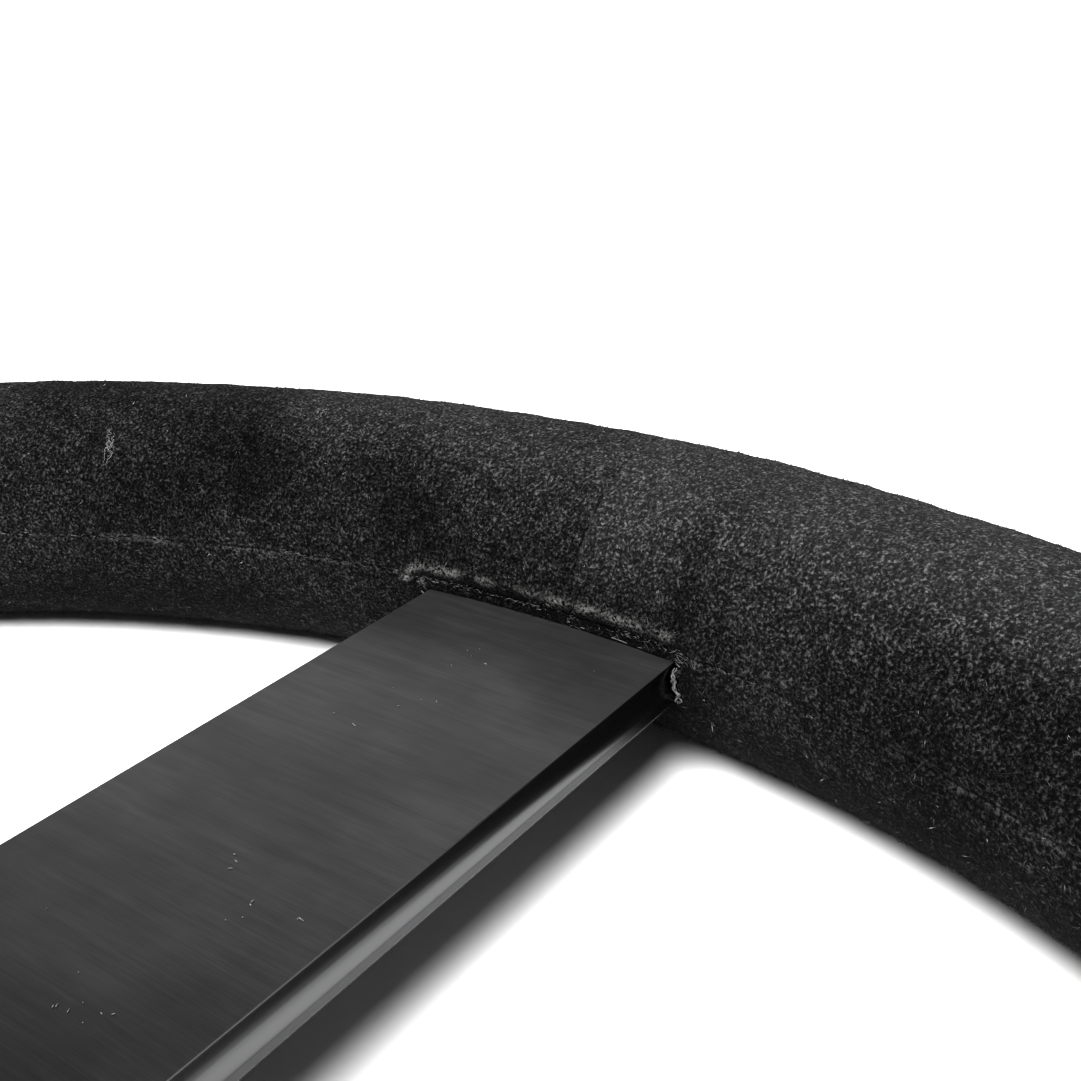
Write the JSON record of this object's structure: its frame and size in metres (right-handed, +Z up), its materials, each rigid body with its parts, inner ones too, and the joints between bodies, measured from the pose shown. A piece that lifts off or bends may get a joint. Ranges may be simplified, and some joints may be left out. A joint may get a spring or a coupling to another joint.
{
  "type": "quick release steering wheel",
  "caption": "Round flat steering wheel with a suede grip, a flat alloy spoke plate, a horn push and a ball-lock quick release coupler on its column side.",
  "frame": {"origin": "centre of the rim on the flat surface that the wheel lies on, driver's side down", "axes": "+Z up, along the steering axis from the driver to the column; +Y to 12 o'clock; -Y along the lower spoke"},
  "size_m": [0.3298, 0.3298, 0.0624],
  "materials": {
    "suede": "napped black suede",
    "foam": "moulded foam",
    "black_anodised": "brushed, black anodised",
    "alloy": "turned, clear anodised",
    "steel": "ground",
    "zinc": "zinc plated",
    "spring_steel": "drawn",
    "brass": "stamped",
    "black_plastic": "fine grain",
    "nylon": "natural",
    "rubber": "matt"
  },
  "bodies": {
    "wheel": {"wrap_upper_left": "suede", "wrap_upper_right": "suede", "wrap_lower_left": "suede", "wrap_lower_right": "suede", "rim_padding": "foam", "rim_core": "alloy", "rivet_1": "zinc", "rivet_2": "zinc", "rivet_3": "zinc", "rivet_4": "zinc", "rivet_5": "zinc", "rivet_6": "zinc", "spoke_plate": "black_anodised", "coupler_body": "black_anodised", "anti_rattle_ring": "rubber", "stop_washer": "zinc", "snap_ring": "spring_steel", "collar_spring": "spring_steel", "screw_1": "steel", "screw_2": "steel", "screw_3": "steel", "screw_4": "steel", "screw_5": "steel", "screw_6": "steel", "horn_bezel": "black_anodised", "horn_base": "nylon", "horn_contact_fixed": "brass", "horn_terminal_1": "brass", "horn_terminal_2": "brass", "horn_spring": "spring_steel"},
    "collar": {"release_collar": "alloy"},
    "ball_a": {"ball_1": "steel"},
    "ball_b": {"ball_2": "steel"},
    "ball_c": {"ball_3": "steel"},
    "ball_d": {"ball_4": "steel"},
    "ball_e": {"ball_5": "steel"},
    "ball_f": {"ball_6": "steel"},
    "column": {"column_adapter": "alloy"},
    "horn": {"horn_button": "black_plastic", "horn_contact_moving": "brass"}
  },
  "joints": [
    {"name": "collar_slide", "type": "slide", "parent": "wheel", "child": "collar", "axis": [0, 0, 1], "range_m": [0, 0.006], "stiffness_N_per_m": 300, "springref_m": 0.006, "deforming": ["collar_spring"]},
    {"name": "ball_a_slide", "type": "slide", "parent": "wheel", "child": "ball_a", "axis": [-1, 0, 0], "range_m": [0, 0.0019]},
    {"name": "ball_b_slide", "type": "slide", "parent": "wheel", "child": "ball_b", "axis": [-0.5, -0.866, 0], "range_m": [0, 0.0019]},
    {"name": "ball_c_slide", "type": "slide", "parent": "wheel", "child": "ball_c", "axis": [0.5, -0.866, 0], "range_m": [0, 0.0019]},
    {"name": "ball_d_slide", "type": "slide", "parent": "wheel", "child": "ball_d", "axis": [1, 0, 0], "range_m": [0, 0.0019]},
    {"name": "ball_e_slide", "type": "slide", "parent": "wheel", "child": "ball_e", "axis": [0.5, 0.866, 0], "range_m": [0, 0.0019]},
    {"name": "ball_f_slide", "type": "slide", "parent": "wheel", "child": "ball_f", "axis": [-0.5, 0.866, 0], "range_m": [0, 0.0019]},
    {"name": "pull_off", "type": "slide", "parent": "wheel", "child": "column", "axis": [0, 0, 1], "range_m": [0, 0.032]},
    {"name": "horn_press", "type": "slide", "parent": "wheel", "child": "horn", "axis": [0, 0, 1], "range_m": [0, 0.0015], "stiffness_N_per_m": 1200, "deforming": ["horn_spring"]}
  ],
  "couplings": [
    {"joint": "ball_a_slide", "follows": "collar_slide", "ratio": 0.3166},
    {"joint": "ball_b_slide", "follows": "collar_slide", "ratio": 0.3166},
    {"joint": "ball_c_slide", "follows": "collar_slide", "ratio": 0.3166},
    {"joint": "ball_d_slide", "follows": "collar_slide", "ratio": 0.3166},
    {"joint": "ball_e_slide", "follows": "collar_slide", "ratio": 0.3166},
    {"joint": "ball_f_slide", "follows": "collar_slide", "ratio": 0.3166}
  ]
}
